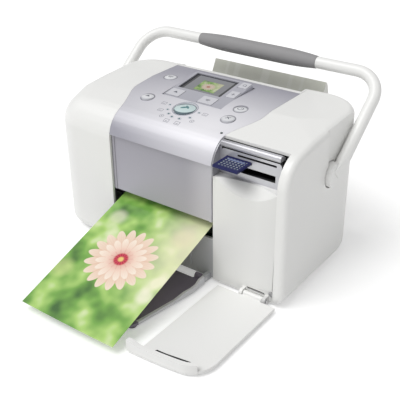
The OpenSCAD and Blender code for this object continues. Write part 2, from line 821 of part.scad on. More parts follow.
module hinge_pins() {
    color("silver") {
        for (s = [-1, 1]) rod(tray_axis, hinge_pin_r, s * 47.2 - 5.4, s * 47.2 + 5.4);
        rod(door_axis, hinge_pin_r, 86.8, 114);
        for (s = [-1, 1]) rod(support_axis, hinge_pin_r, s * 61.2 - 6, s * 61.2 + 6);
        for (s = [-1, 1]) rod(cartridge_axis, hinge_pin_r, s * 40 - 7.4, s * 40 + 7.4);
    }
}

// handle, drawn flat: arms run along +y from the pivots
module handle_place() {
    translate([0, handle_axis[0], handle_axis[1]]) rotate([handle_rest, 0, 0]) children();
}

module handle_bar() {
    grip_half = 66;
    paddle_x = 132.4;
    straight = handle_x - handle_bend + eps;
    color("whitesmoke") handle_place() difference() {
        union() {
            for (s = [-1, 1]) {
                mirror([s > 0 ? 0 : 1, 0]) difference() {
                    translate([handle_x, 0, 0]) rotate([-90, 0, 0])
                        cylinder(r = handle_tube_r, h = handle_reach - handle_bend, $fn = 40);
                    // the tube's outer side slopes into the flat paddle
                    translate([paddle_x, -2, -20]) rotate([0, 0, -11.3]) cube([12, 42, 40]);
                }
                mirror([s > 0 ? 0 : 1, 0]) cap([0, 0], 11, 125.2, paddle_x);
                translate([s * (handle_x - handle_bend), handle_reach - handle_bend, 0])
                    mirror([s > 0 ? 0 : 1, 0]) rotate_extrude(angle = 90, $fn = 64)
                        translate([handle_bend, 0]) circle(handle_tube_r, $fn = 40);
            }
            rod([handle_reach, 0], handle_tube_r, -straight, straight);
        }
        for (s = [-1, 1]) rod([0, 0], pivot_r + run, s * 123.9 - 6, s * 123.9 + 6);
        // neck that the grip is moulded on
        difference() {
            rod([handle_reach, 0], handle_tube_r + 1, -grip_half, grip_half);
            rod([handle_reach, 0], handle_tube_r - 0.8, -grip_half - 1, grip_half + 1);
        }
    }
}

module handle_grip() {
    half = 66;
    bulge = 2;
    taper = 38;
    taper_r = (taper * taper + bulge * bulge) / (2 * bulge);
    r = handle_tube_r + 0.3;
    color("gray") handle_place() translate([0, handle_reach, 0]) rotate([0, 90, 0]) difference() {
        rotate_extrude($fn = 72) intersection() {
            translate([0, -half + 0.1]) square([20, 2 * half - 0.2]);
            union() {
                translate([0, taper - half]) square([r + bulge, 2 * (half - taper)]);
                for (s = [-1, 1]) translate([r + bulge - taper_r, s * (half - taper)])
                    circle(taper_r, $fn = 360);
            }
        }
        cylinder(r = handle_tube_r - 0.8, h = 200, center = true, $fn = 72);
    }
}

module handle_pivots() {
    color("silver") for (s = [-1, 1]) mirror([s > 0 ? 0 : 1, 0]) {
        rod(handle_axis, pivot_r, boss_in - 1, 129.6);
        rod(handle_axis, 6.5, boss_in - 1.6, boss_in);
    }
}

module photo_sheet() {
    color("ivory") translate([-sheet_w / 2, sheet_end[0], sheet_end[1]]) rotate([sheet_slope, 0, 0])
        cube([sheet_w, sheet_l, sheet_t]);
}

// bent steel frame with the holes of every shaft
module chassis_frame() {
    color("lightsteelblue") difference() {
        union() {
            for (x = [plate_left, plate_right]) along_x(x - plate_t / 2, x + plate_t / 2)
                polygon([[-72, 7.2], [46, 7.2], [46, 103], [-60, 103], [-60, 72], [-72, 72]]);
            translate([plate_left, -58, 7.2]) cube([plate_right - plate_left, 4, plate_t]);
            translate([plate_left, 26, 7.2]) cube([plate_right - plate_left, 12, plate_t]);
            translate([plate_left, 8, 78]) cube([plate_right - plate_left, plate_t, 25]);
        }
        for (x = [plate_left, plate_right]) {
            rod(guide_c, guide_r + 0.03, x - 3, x + 3);
            for (c = [feed_c, pickup_c, idler_c]) rod(c, shaft_r + run, x - 3, x + 3);
            rod(exit_c, exit_shaft_r + run, x - 3, x + 3);
            rod(star_c, star_shaft_r + run, x - 3, x + 3);
        }
        rod(pinion_c, 3.4, plate_left - 3, plate_left + 3);
        // window in the rear web, over the pickup roller
        translate([-62, 5, 76]) cube([40, 8, 12]);
    }
}

module guide_shaft() {
    color("silver") rod(guide_c, guide_r, plate_left - 2, plate_right + 2);
}

module encoder_strip() {
    color("lightgray") translate([plate_left + 1, -12.6, 97]) cube([plate_right - plate_left - 2, 0.4, 5]);
}

module carriage() {
    x = carriage_x - carriage_w / 2;
    color([0.25, 0.25, 0.28]) difference() {
        union() {
            translate([x, -50, 64]) cube([carriage_w, 36, 30]);
            translate([x + 6, -46, 60]) cube([carriage_w - 12, 20, 5]);
            // clamp on the front run of the belt
            translate([carriage_x - 6, -15, 86]) cube([12, 8, 8]);
        }
        rod(guide_c, guide_r + 0.06, x - 1, x + carriage_w + 1);
        translate([x + 3, -47, 77]) cube([carriage_w - 6, 12, 20]);
        translate([carriage_x - 7, belt_y - pulley_r - belt_t - 0.3, belt_z - 2.8])
            cube([14, belt_t + 0.8, 8]);
    }
}

module timing_belt() {
    w = 5;
    inner = pulley_r + 0.1;
    outer = pulley_r + belt_t;
    color("black") translate([0, belt_y, belt_z - w / 2]) linear_extrude(w) difference() {
        belt_plan(outer);
        belt_plan(inner);
    }
}

module belt_plan(r) {
    translate([pulley_x[0], -r]) square([pulley_x[1] - pulley_x[0], 2 * r]);
    for (x = pulley_x) translate([x, 0]) circle(r, $fn = 48);
}

module pulley(x) {
    h = 7.2;
    rim = 0.8;
    translate([x, belt_y, belt_z - h / 2]) difference() {
        union() {
            cylinder(r = pulley_r, h = h, $fn = 48);
            for (z = [0, h - rim]) translate([0, 0, z]) cylinder(r = pulley_r + 1.6, h = rim, $fn = 48);
        }
        translate([0, 0, -1]) cylinder(r = 1.5 + run, h = h + 2, $fn = 24);
    }
}

module drive_pulley() { color("silver") pulley(pulley_x[1]); }
module idler_pulley() { color("silver") pulley(pulley_x[0]); }

// motor under the driven pulley, and the post of the other pulley
module carriage_motor() {
    color("silver") {
        translate([pulley_x[1], belt_y, belt_z - 34]) cylinder(r = 9, h = 29, $fn = 48);
        translate([pulley_x[1], belt_y, belt_z - 6]) cylinder(r = 1.5, h = 12, $fn = 24);
        translate([pulley_x[0], belt_y, belt_z - 8]) cylinder(r = 1.5, h = 14, $fn = 24);
        translate([plate_left + 0.8, belt_y - 5, belt_z - 9.4])
            cube([pulley_x[0] - plate_left + 3, 10, 1.5]);
    }
}

// spur gear with straight-flanked teeth and running backlash, in x and y
module gear_plan(teeth, phase) {
    r = tooth_module * teeth / 2;
    root = r - 1.2 * tooth_module;
    tip = r + 0.8 * tooth_module;
    base_w = 0.5 * PI * tooth_module;
    tip_w = 0.16 * PI * tooth_module;
    rotate(phase) {
        circle(root, $fn = 96);
        for (i = [0 : teeth - 1]) rotate(i * 360 / teeth)
            polygon([[root - 0.5, -base_w / 2], [root, -base_w / 2], [tip, -tip_w / 2], [tip, tip_w / 2],
                     [root, base_w / 2], [root - 0.5, base_w / 2]]);
    }
}

// gear across the shafts: its plan's x runs along the row's +Y
module gear(c, teeth, phase, x0) {
    translate([x0, c[0], c[1]]) rotate([90, 0, 90]) linear_extrude(gear_t) gear_plan(teeth, phase);
}

module exit_roller() {
    color("dimgray") {
        rod(exit_c, exit_shaft_r, gear_x - 1, plate_right + 2);
        for (x = [-40 : 20 : 40]) rod(exit_c, exit_r, x - 5, x + 5);
        gear(exit_c, exit_teeth, 0, gear_x);
    }
}

module feed_roller() {
    color("dimgray") {
        rod(feed_c, shaft_r, gear_x - 1, plate_right + 2);
        rod(feed_c, feed_r, -58, 58);
        gear(feed_c, feed_teeth, 0, gear_x);
    }
}

module idler_gear() {
    color("ivory") {
        gear(idler_c, idler_teeth, 180 / idler_teeth, gear_x);
        rod(idler_c, shaft_r, gear_x - 1, plate_left + 4);
    }
}

module motor_pinion() {
    color("goldenrod") difference() {
        union() {
            gear(pinion_c, pinion_teeth, 180 / pinion_teeth, gear_x);
            rod(pinion_c, 3, gear_x + gear_t - eps, plate_left - 1.6);
        }
        rod(pinion_c, 1.5 + 0.02, gear_x - 1, plate_left);
    }
}

module feed_motor() {
    color("silver") {
        rod(pinion_c, 11, plate_left + 0.8, plate_left + 29);
        rod(pinion_c, 1.5, gear_x + 0.4, plate_left + 3);
    }
}

module star_wheels() {
    color("silver") {
        rod(star_c, star_shaft_r, plate_left - 2, plate_right + 2);
        for (x = [-40 : 20 : 40]) rod(star_c, star_r, x - 0.6, x + 0.6);
    }
}

module pickup_roller() {
    color("black") difference() {
        union() {
            rod(pickup_c, shaft_r, plate_left - 2, plate_right + 2);
            rod(pickup_c, pickup_r, -12, 12);
        }
        translate([-13, pickup_c[0] - 20, pickup_c[1] + 9]) cube([26, 40, 10]);
    }
}

module platen() {
    color("dimgray") {
        translate([-60, -56, 50.6]) cube([120, 50, 2]);
        for (x = [-54 : 9 : 54]) translate([x - 0.6, -56, 52.5]) cube([1.2, 48, 2]);
        // rail that carries it from plate to plate
        translate([plate_left + 0.9, -44, 48]) cube([plate_right - plate_left - 1.8, 7.6, 2.7]);
    }
}

module capping_station() {
    color("lightgray") {
        translate([61, -50, 50.8]) cube([44, 34, 5]);
        translate([64, -45, 55.7]) cube([36, 18, 3.4]);
    }
}

module main_board() {
    color("darkgreen") translate([-60, -50, 14]) cube([118, 52, 1.6]);
    color("black") for (p = [[-40, -40], [-10, -30], [20, -38]])
        translate([p[0], p[1], 15.5]) cube([14, 14, 2.4]);
    color("lightgray") for (x = [-54, 48]) translate([x, -12, 15.5]) cube([6, 10, 8]);
    color("silver") for (x = [-58, 52]) for (y = [-48, -6]) translate([x, y, 4.1]) cube([4, 4, 10]);
}

// low-voltage power inlet, a round socket in the rear of the left shell
module dc_inlet() {
    color("black") difference() {
        translate([-84, rear_y - wall - 12.4, 12]) cube([11, 12, 11]);
        translate([-78.5, rear_y - wall - 10, 17.5]) rotate([-90, 0, 0])
            cylinder(r = 3.2, h = 12, $fn = 40);
    }
    color("silver") translate([-78.5, rear_y - wall - 11, 17.5]) rotate([-90, 0, 0])
        cylinder(r = 1, h = 9, $fn = 24);
}

module usb_port() {
    color("silver") translate([72, rear_y - wall - 16.4, 12]) difference() {
        cube([12.4, 16, 11.4]);
        translate([1.4, 3, 1.4]) cube([9.6, 14, 8.6]);
    }
    color("white") translate([76.2, rear_y - wall - 14, 15.6]) cube([4, 12, 3.4]);
}

bottom_case();
rubber_feet();
left_side_shell();
right_side_shell();
top_cover();
front_panel();
lower_front_wall();
right_front_panel();
card_bay_bezel();
rear_housing();
hopper_guide();
paper_support();
edge_guide();
cartridge_door();
ink_cartridge();
output_tray();
tray_feet();
card_door();
hinge_pins();
door_screw();
handle_bar();
handle_grip();
handle_pivots();
lcd_frame();
lcd_screen();
menu_key_left();
menu_key_right();
zoom_key_front();
zoom_key_rear();
print_button();
button_rear_left();
button_front_left();
power_button();
button_front_right();
status_lens();
control_board();
memory_card();
card_reader();
photo_sheet();
chassis_frame();
guide_shaft();
encoder_strip();
carriage();
timing_belt();
drive_pulley();
idler_pulley();
carriage_motor();
feed_motor();
motor_pinion();
feed_roller();
idler_gear();
exit_roller();
star_wheels();
pickup_roller();
platen();
capping_station();
main_board();
dc_inlet();
usb_port();
case_screws();
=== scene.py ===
"""Compact photo printer: finishes, printed details and a studio stage for its frame."""
import math

import bmesh
import bpy
from bpy.props import FloatProperty, FloatVectorProperty, PointerProperty
from bpy.types import Operator, Panel, PropertyGroup
from mathutils import Matrix, Vector


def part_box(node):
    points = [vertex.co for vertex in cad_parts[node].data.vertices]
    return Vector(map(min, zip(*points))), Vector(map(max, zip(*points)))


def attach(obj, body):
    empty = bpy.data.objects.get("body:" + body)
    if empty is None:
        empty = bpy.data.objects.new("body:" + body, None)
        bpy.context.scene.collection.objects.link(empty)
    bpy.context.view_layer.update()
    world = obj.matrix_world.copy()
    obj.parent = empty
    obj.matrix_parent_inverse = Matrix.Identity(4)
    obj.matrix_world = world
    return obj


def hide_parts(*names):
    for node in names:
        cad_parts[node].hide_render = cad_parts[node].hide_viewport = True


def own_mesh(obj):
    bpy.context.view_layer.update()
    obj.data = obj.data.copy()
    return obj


bl_info = {
    "name": "Compact Photo Printer",
    "version": (1, 0, 0),
    "blender": (4, 5, 0),
    "location": "View3D > Sidebar > Printer",
    "description": "Dresses the frame of a compact photo printer",
    "category": "Object",
}

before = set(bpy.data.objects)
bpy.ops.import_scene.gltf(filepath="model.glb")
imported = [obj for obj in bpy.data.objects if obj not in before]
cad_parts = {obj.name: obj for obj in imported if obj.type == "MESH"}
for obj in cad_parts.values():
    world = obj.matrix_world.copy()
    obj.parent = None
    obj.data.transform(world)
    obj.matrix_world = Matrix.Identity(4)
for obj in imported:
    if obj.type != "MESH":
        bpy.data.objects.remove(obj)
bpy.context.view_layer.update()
MM = 0.001
GRAIN_SCALE = 2600.0  # of the fine grain that moulds leave on plastic
GRAIN_DEPTH = 0.00006
EDGE = 6e-5  # softness of a printed edge


def rgb(r, g, b):
    """Screen colour (0 to 255) as a linear colour."""
    def line(c):
        c = c / 255
        return c / 12.92 if c <= 0.04045 else ((c + 0.055) / 1.055) ** 2.4
    return (line(r), line(g), line(b))


def scaled(colour, factor):
    return tuple(c * factor for c in colour)


# ---------------------------------------------------------------- sizes and colours


class PrinterSizes(PropertyGroup):
    print_relief: FloatProperty(
        name="Relief", description="Height of the printed rings and marks on the cover",
        default=0.00015, min=0.00005, max=0.0005, unit="LENGTH")
    sheet_curl: FloatProperty(
        name="Sheet curl", description="Height of the curl across the printed sheet",
        default=0.0006, min=0.0, max=0.003, unit="LENGTH")
    floor_size: FloatProperty(
        name="Floor", description="Width of the studio floor", default=24.0, min=4.0, max=60.0, unit="LENGTH")


class PrinterColours(PropertyGroup):
    shell: FloatVectorProperty(
        name="Shell", description="Colour of the white shells", subtype="COLOR",
        default=rgb(240, 240, 238))
    silver: FloatVectorProperty(
        name="Silver", description="Colour of the silver cover", subtype="COLOR",
        default=rgb(166, 165, 176))
    # painted highlight: the paler colour the silver cover is painted near its front lip
    lip_highlight: FloatVectorProperty(
        name="Pearl", description="Colour of the silver cover near its front lip", subtype="COLOR",
        default=rgb(244, 243, 247))
    front: FloatVectorProperty(
        name="Front", description="Colour of the silver front panel", subtype="COLOR",
        default=rgb(170, 168, 178))
    underside: FloatVectorProperty(
        name="Underside", description="Colour of the case's underside", subtype="COLOR",
        default=rgb(205, 205, 208))
    grip: FloatVectorProperty(
        name="Grip", description="Colour of the handle's soft sleeve", subtype="COLOR",
        default=rgb(150, 149, 150))
    support: FloatVectorProperty(
        name="Support", description="Colour of the paper support", subtype="COLOR",
        default=rgb(226, 227, 216))
    tray_floor: FloatVectorProperty(
        name="Tray floor", description="Colour of the output tray's floor", subtype="COLOR",
        default=rgb(132, 124, 140))
    print_key: FloatVectorProperty(
        name="Print key", description="Colour of the large print button", subtype="COLOR",
        default=rgb(206, 226, 226))
    card: FloatVectorProperty(
        name="Card", description="Colour of the memory card", subtype="COLOR",
        default=rgb(24, 28, 84))


def sizes():
    return bpy.context.scene.printer_sizes


def hue(name):
    return tuple(getattr(bpy.context.scene.printer_colours, name))


# ---------------------------------------------------------------- shader expressions


class Socket:
    """A shader value. Arithmetic on it adds Math nodes to its shader."""

    def __init__(self, shader, out):
        self.shader, self.out = shader, out

    def _math(self, operation, *values):
        return self.shader.node("ShaderNodeMath", {"operation": operation}, dict(enumerate(values)))[0]

    def __add__(self, other):
        return self._math("ADD", self, other)

    def __sub__(self, other):
        return self._math("SUBTRACT", self, other)

    def __rsub__(self, other):
        return self._math("SUBTRACT", other, self)

    def __mul__(self, other):
        return self._math("MULTIPLY", self, other)

    def __truediv__(self, other):
        return self._math("DIVIDE", self, other)

    __radd__ = __add__
    __rmul__ = __mul__

    def abs(self):
        return self._math("ABSOLUTE", self)

    def sqrt(self):
        return self._math("SQRT", self)

    def sin(self):
        return self._math("SINE", self)

    def most(self, other):
        return self._math("MAXIMUM", self, other)

    def least(self, other):
        return self._math("MINIMUM", self, other)

    def angle(self, x):
        return self._math("ARCTAN2", self, x)

    def below(self, edge, soft=1e-5):
        """1 where this is less than edge, with a ramp that reaches soft to both sides."""
        return self.shader.node("ShaderNodeMapRange", {"interpolation_type": "SMOOTHSTEP"}, {
            "Value": self, "From Min": edge - soft, "From Max": edge + soft, "To Min": 1.0, "To Max": 0.0})[0]

    def above(self, edge, soft=1e-5):
        return 1.0 - self.below(edge, soft)


def set_stops(ramp, stops):
    while len(ramp.elements) < len(stops):
        ramp.elements.new(0.5)
    for element, (place, colour) in zip(ramp.elements, stops):
        element.position = place
        element.color = (*colour, 1.0)


class Shader:
    """The node tree of a material or a world, whose nodes are made by calls."""

    def __init__(self, owner):
        owner.use_nodes = True
        self.tree = owner.node_tree
        self.tree.nodes.clear()

    def feed(self, socket, value):
        """Links or sets a socket. A colour of three numbers gets its fourth."""
        if isinstance(value, Socket):
            self.tree.links.new(value.out, socket)
        elif hasattr(value, "__len__") and len(value) == 3 and len(socket.default_value) == 4:
            socket.default_value = (*value, 1.0)
        else:
            socket.default_value = value

    def add(self, kind, settings=None, inputs=None):
        """Adds a node: its settings first, then its inputs, by name or number."""
        made = self.tree.nodes.new(kind)
        for key, value in (settings or {}).items():
            if key == "stops":
                set_stops(made.color_ramp, value)
            else:
                setattr(made, key, value)
        for key, value in (inputs or {}).items():
            self.feed(made.inputs[key], value)
        return made

    def node(self, kind, settings=None, inputs=None):
        """Adds a node and returns its outputs."""
        return [Socket(self, out) for out in self.add(kind, settings, inputs).outputs]

    def rays(self, first, second):
        """1 for rays of either kind, named as Light Path names them."""
        path = self.add("ShaderNodeLightPath")
        return Socket(self, path.outputs[first]).most(Socket(self, path.outputs[second]))


class Finish(Shader):
    """A material of one Principled surface."""

    def __init__(self, name, **fixed):
        self.material = bpy.data.materials.new(name)
        super().__init__(self.material)
        self.principled = self.add("ShaderNodeBsdfPrincipled")
        self.surface = Socket(self, self.principled.outputs[0])
        self.out = self.add("ShaderNodeOutputMaterial", None, {"Surface": self.surface})
        self.set(**fixed)

    def set(self, **values):
        """Sets the surface's sockets: base_color becomes Base Color."""
        for key, value in values.items():
            name = "Specular IOR Level" if key == "specular_ior_level" else key.replace("_", " ").title()
            self.feed(self.principled.inputs[name], value)

    def mix(self, factor, a, b):
        """Colour a where factor is 0 and colour b where it is 1."""
        return self.node("ShaderNodeMix", {"data_type": "RGBA"}, {0: factor, 6: a, 7: b})[2]

    def place(self, at=(0, 0, 0), turn=(0, 0, 0)):
        """Object coordinates about a point, as x, y and z."""
        point = self.node("ShaderNodeTexCoord")[3]
        if any(at) or any(turn):
            shift = self.node("ShaderNodeVectorMath", {"operation": "SUBTRACT"}, {0: point, 1: at})[0]
            point = self.node("ShaderNodeMapping", None, {"Vector": shift, "Rotation": turn})[0]
        return self.node("ShaderNodeSeparateXYZ", None, {0: point})[:3]

    def uv(self):
        return self.node("ShaderNodeSeparateXYZ", None, {0: self.node("ShaderNodeTexCoord")[2]})[:2]

    def noise(self, scale, detail=2.0):
        point = self.node("ShaderNodeTexCoord")[3]
        return self.node("ShaderNodeTexNoise", None, {"Vector": point, "Scale": scale, "Detail": detail})[0]

    def gloss(self, scale, spread, least):
        """Roughness from least up to least + spread, in patches."""
        return self.noise(scale) * spread + least

    def bump(self, height, strength, distance):
        return self.node("ShaderNodeBump", None, {
            "Height": height, "Strength": strength, "Distance": distance})[0]

    def grain(self, strength, sunk=None, scale=GRAIN_SCALE):
        """The grain of moulded plastic, with marks sunk into it."""
        height = self.noise(scale, 1.0)
        return self.bump(height if sunk is None else height - sunk, strength, GRAIN_DEPTH)


def moulded(name, colour, rough, grain, wear=0.03, **fixed):
    """Moulded plastic: fine grain, slight mottling and a faint change of gloss."""
    plastic = Finish(name, **fixed)
    pale = tuple(min(1.0, c * (1 + wear)) for c in colour)
    plastic.set(base_color=plastic.mix(plastic.noise(9.0, 3.0), scaled(colour, 1 - wear), pale),
                roughness=(plastic.noise(60.0) - 0.5) * 0.12 + rough, normal=plastic.grain(grain))
    return plastic


def metal(name, colour, rough, turned=False):
    """Bare metal with fine marks along one way."""
    bare = Finish(name, metallic=1.0)
    x, y, z = bare.place()
    along = x * 4000.0 if turned else (y + z) * 2600.0
    lines = along.sin() * 0.5 + 0.5
    bare.set(base_color=bare.mix(bare.noise(30.0), scaled(colour, 0.9), colour),
             roughness=bare.noise(220.0, 3.0) * 0.18 + rough,
             normal=bare.bump(lines * 0.4 + bare.noise(900.0), 0.08, 0.00003))
    return bare


# ---------------------------------------------------------------- marks, as masks of a material


def ring(x, y, radius, width, soft=EDGE):
    distance = (x * x + y * y).sqrt()
    return (distance - radius).abs().below(width / 2, soft)


def disc(x, y, radius, soft=EDGE):
    return (x * x + y * y).sqrt().below(radius, soft)


def bar(x, y, half_x, half_y, soft=EDGE):
    return x.abs().below(half_x, soft) * y.abs().below(half_y, soft)


def ellipse(x, y, a, b):
    return ((x / a) * (x / a) + (y / b) * (y / b)).sqrt().below(1.0, 0.04)


def diagonals(x, y):
    """The same point along axes turned by 45 degrees."""
    return (x + y) * math.sqrt(0.5), (x - y) * math.sqrt(0.5)


def power_mark(x, y, r):
    gap = 1.0 - bar(x, y - r, r * 0.42, r * 0.7)
    return (ring(x, y, r, r * 0.26) * gap).most(bar(x, y - r * 0.75, r * 0.13, r * 0.5))


def cross_mark(x, y, r):
    a, b = diagonals(x, y)
    return bar(a, b, r, r * 0.16).most(bar(a, b, r * 0.16, r))


def plus_mark(x, y, r):
    return bar(x, y, r, r * 0.15).most(bar(x, y, r * 0.15, r))


def loupe_mark(x, y, r):
    return ring(x, y, r, r * 0.3125).most(bar(x - r * 1.1875, y + r * 1.1875, r * 0.5, r * 0.1875))


def list_mark(x, y, r):
    """Three strokes, the front one shorter."""
    strokes = bar(x, y - r * 0.5, r, r * 0.14).most(bar(x, y, r, r * 0.14))
    return strokes.most(bar(x, y + r * 0.5, r * 0.6, r * 0.14))


def arrow_mark(x, y, r):
    return (x.abs() + y * 0.8).below(r * 0.7, EDGE) * y.above(-r * 0.35, EDGE)


def frame_mark(x, y):
    """A small frame with a stroke in it."""
    outline = bar(x, y, 0.0026, 0.0020) - bar(x, y, 0.0021, 0.0015)
    return outline + bar(x, y + 0.0005, 0.0012, 0.0003)


def dial_mark(x, y):
    """A small ring with a point in it."""
    return ring(x, y, 0.0019, 0.0005).most(bar(x, y, 0.0006, 0.0006))


def flower(finish, u, v):
    """A made-up blossom before a soft green meadow: u and v run from -1 to 1."""
    point = finish.node("ShaderNodeCombineXYZ", None, {0: u, 1: v, 2: 0.0})[0]
    soft = finish.node("ShaderNodeTexNoise", None, {"Vector": point, "Scale": 1.6, "Detail": 2.0})[0]
    meadow = finish.node("ShaderNodeValToRGB", {"stops": [
        (0.30, rgb(58, 104, 42)), (0.44, rgb(118, 172, 72)), (0.56, rgb(176, 214, 116)),
        (0.70, rgb(240, 244, 208))]}, {0: soft})[0]
    haze = ((u - 0.9) * (u - 0.9) + (v - 0.75) * (v - 0.75) * 0.3).sqrt().below(0.55, 0.5)
    picture = finish.mix(haze * 0.75, meadow, rgb(246, 240, 206))
    for light_u, light_v, radius, colour, strength in (
            (-0.70, 0.72, 0.16, rgb(240, 238, 210), 0.55), (0.72, 0.78, 0.20, rgb(236, 226, 190), 0.50),
            (0.85, -0.50, 0.14, rgb(250, 246, 226), 0.60), (-0.86, -0.62, 0.18, rgb(214, 226, 150), 0.50)):
        a, b = u - light_u, v - light_v
        glow = (a * a + b * b).sqrt().below(radius, radius * 0.5)
        picture = finish.mix(glow * strength, picture, colour)
    x, y = u + 0.02, v + 0.04
    far = (x * x + y * y).sqrt()
    turn = y.angle(x)
    for petals, size, depth, phase, light, shade in (
            (9, 0.66, 0.16, 0.3, rgb(246, 226, 206), rgb(226, 178, 150)),
            (8, 0.46, 0.12, 1.1, rgb(252, 238, 222), rgb(234, 188, 164)),
            (7, 0.29, 0.08, 0.0, rgb(248, 222, 204), rgb(216, 140, 124))):
        wave = (turn * petals + phase).sin().abs()
        leaf = (far - (wave * depth + (size - depth))).below(0.0, 0.012)
        vein = (turn * (petals * 9.0)).sin() * 0.06
        fold = 1.0 - wave.below(0.22, 0.2) * 0.45
        picture = finish.mix(leaf, picture, finish.mix((far / size + vein) * fold, shade, light))
    heart = finish.mix((turn * 14.0).sin() * 0.5 + 0.5, rgb(176, 28, 56), rgb(214, 60, 84))
    picture = finish.mix(far.below(0.13, 0.02), picture, heart)
    return finish.mix(far.below(0.05, 0.02), picture, rgb(240, 206, 120))


# ---------------------------------------------------------------- mesh helpers


def only(obj):
    bpy.ops.object.select_all(action="DESELECT")
    obj.select_set(True)
    bpy.context.view_layer.objects.active = obj


def settle(obj, name, body, material):
    """Puts a piece's place into its mesh, then names, paints and hangs it on a body."""
    only(obj)
    bpy.ops.object.transform_apply(location=True, rotation=True, scale=True)
    bpy.ops.object.shade_smooth_by_angle(angle=math.radians(35))
    obj.name = name
    obj.data.name = name
    obj.data.materials.clear()
    obj.data.materials.append(material)
    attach(obj, body)


def apply_all(obj):
    only(obj)
    for modifier in list(obj.modifiers):
        bpy.ops.object.modifier_apply(modifier=modifier.name)


def add_bevel(obj, width):
    """A bevel on the sharp edges, left as a modifier."""
    bevel = obj.modifiers.new("edge", "BEVEL")
    bevel.width = width
    bevel.segments = 2
    bevel.limit_method = "ANGLE"
    bevel.angle_limit = math.radians(40)


def soften(obj, width):
    add_bevel(obj, width)
    apply_all(obj)
    return obj


def add_disc(radius, depth, place, turn, sides):
    bpy.ops.object.select_all(action="DESELECT")
    bpy.ops.mesh.primitive_cylinder_add(
        vertices=sides, radius=radius, depth=depth, location=place, rotation=turn)
    return bpy.context.object


def select_ends(obj):
    """Selects the two end faces of a disc, in edit mode."""
    only(obj)
    bpy.ops.object.mode_set(mode="EDIT")
    bpy.ops.mesh.select_mode(type="FACE")
    bpy.ops.mesh.select_all(action="DESELECT")
    shape = bmesh.from_edit_mesh(obj.data)
    for face in shape.faces:
        face.select_set(abs(face.normal.z) > 0.9)
    bmesh.update_edit_mesh(obj.data)


def add_ring(outer, inner, height, place, turn, sides):
    """A flat ring with softened edges."""
    obj = add_disc(outer, height, place, turn, sides)
    select_ends(obj)
    bpy.ops.mesh.inset(thickness=outer - inner)
    bpy.ops.mesh.bridge_edge_loops()
    bpy.ops.object.mode_set(mode="OBJECT")
    return soften(obj, height * 0.3)


def dress(node, finish, bevel=0.0):
    """Gives a frame node its finish, with smooth curves and softly broken edges."""
    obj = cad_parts[node]
    only(obj)
    obj.data.materials.clear()
    obj.data.materials.append(finish.material)
    for polygon in obj.data.polygons:
        polygon.use_smooth = True
    weld = obj.modifiers.new("weld", "WELD")
    weld.merge_threshold = 2e-6
    if bevel:
        add_bevel(obj, bevel)
    split = obj.modifiers.new("split", "EDGE_SPLIT")
    split.split_angle = math.radians(32)
    even = obj.modifiers.new("even", "WEIGHTED_NORMAL")
    even.weight = 50


# ---------------------------------------------------------------- places on the cover


def centre(node):
    """The middle of a frame node seen from above, in millimetres, to a tenth."""
    low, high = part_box(node)
    return [round((low[i] + high[i]) / 2 / MM, 1) for i in (0, 1)]


PRINT_KEY = centre("print_button")
SMALL_KEYS = {
    "button_rear_left": list_mark,
    "button_front_left": arrow_mark,
    "power_button": power_mark,
    "button_front_right": cross_mark,
}
# millimetres from the frame's origin
DOTS = ((-16.9, -41.8), (-13.6, -49.4), (-8.4, -54.7), (-2.6, -57.6), (5.5, -57.6), (13.0, -52.3),
        (15.5, -42.4))
DOT_TO_MARK = 6.4
# radii in metres
WELL_RADIUS, SHADE_RADIUS, KEY_RIM, KEY_MARK = 0.0074, 0.0066, 0.0052, 0.0026
PRINT_RIM, GROOVE_RADIUS, COLLAR_OUTER, COLLAR_INNER = 0.0094, 0.0128, 0.0119, 0.0108
RING_OUTER, RING_INNER, DOT_RADIUS = 0.0019, 0.0014, 0.00085
# side view of the cover in millimetres: a round nose, then straight runs between knots
NOSE_Y, NOSE_Z, NOSE_R, NOSE_END = -55.5, 110.0, 26.0, -59.5
TOP_KNOTS = ((-38.0, 139.2), (-15.0, 141.3), (19.0, 143.0), (40.0, 143.0))


def mode_marks(x, y):
    """Small line pictures outside the dots, away from the print button."""
    marks = 0.0
    for i, (dot_x, dot_y) in enumerate(DOTS):
        px, py = dot_x - PRINT_KEY[0], dot_y - PRINT_KEY[1]
        grow = 1 + DOT_TO_MARK / math.hypot(px, py)
        a = x - (PRINT_KEY[0] + px * grow) * MM
        b = y - (PRINT_KEY[1] + py * grow) * MM
        marks = (dial_mark(a, b) if i % 3 == 2 else frame_mark(a, b)) + marks
    return marks


def nose_height(y):
    return NOSE_Z + math.sqrt(max(0.0, NOSE_R ** 2 - (y - NOSE_Y) ** 2))


def top_height(y):
    """Height of the cover's surface at y, both in millimetres, as the case is built."""
    if y < NOSE_END:
        return nose_height(y)
    knots = ((NOSE_END, nose_height(NOSE_END)), *TOP_KNOTS)
    for (y0, z0), (y1, z1) in zip(knots, knots[1:]):
        if y <= y1:
            return z0 + (z1 - z0) * (y - y0) / (y1 - y0)
    return knots[-1][1]


def top_turn(y):
    """The turn that lays a flat piece on the cover at y."""
    slope = (top_height(y + 1) - top_height(y - 1)) / 2
    return (math.atan(slope), 0, 0)


# ---------------------------------------------------------------- case and front


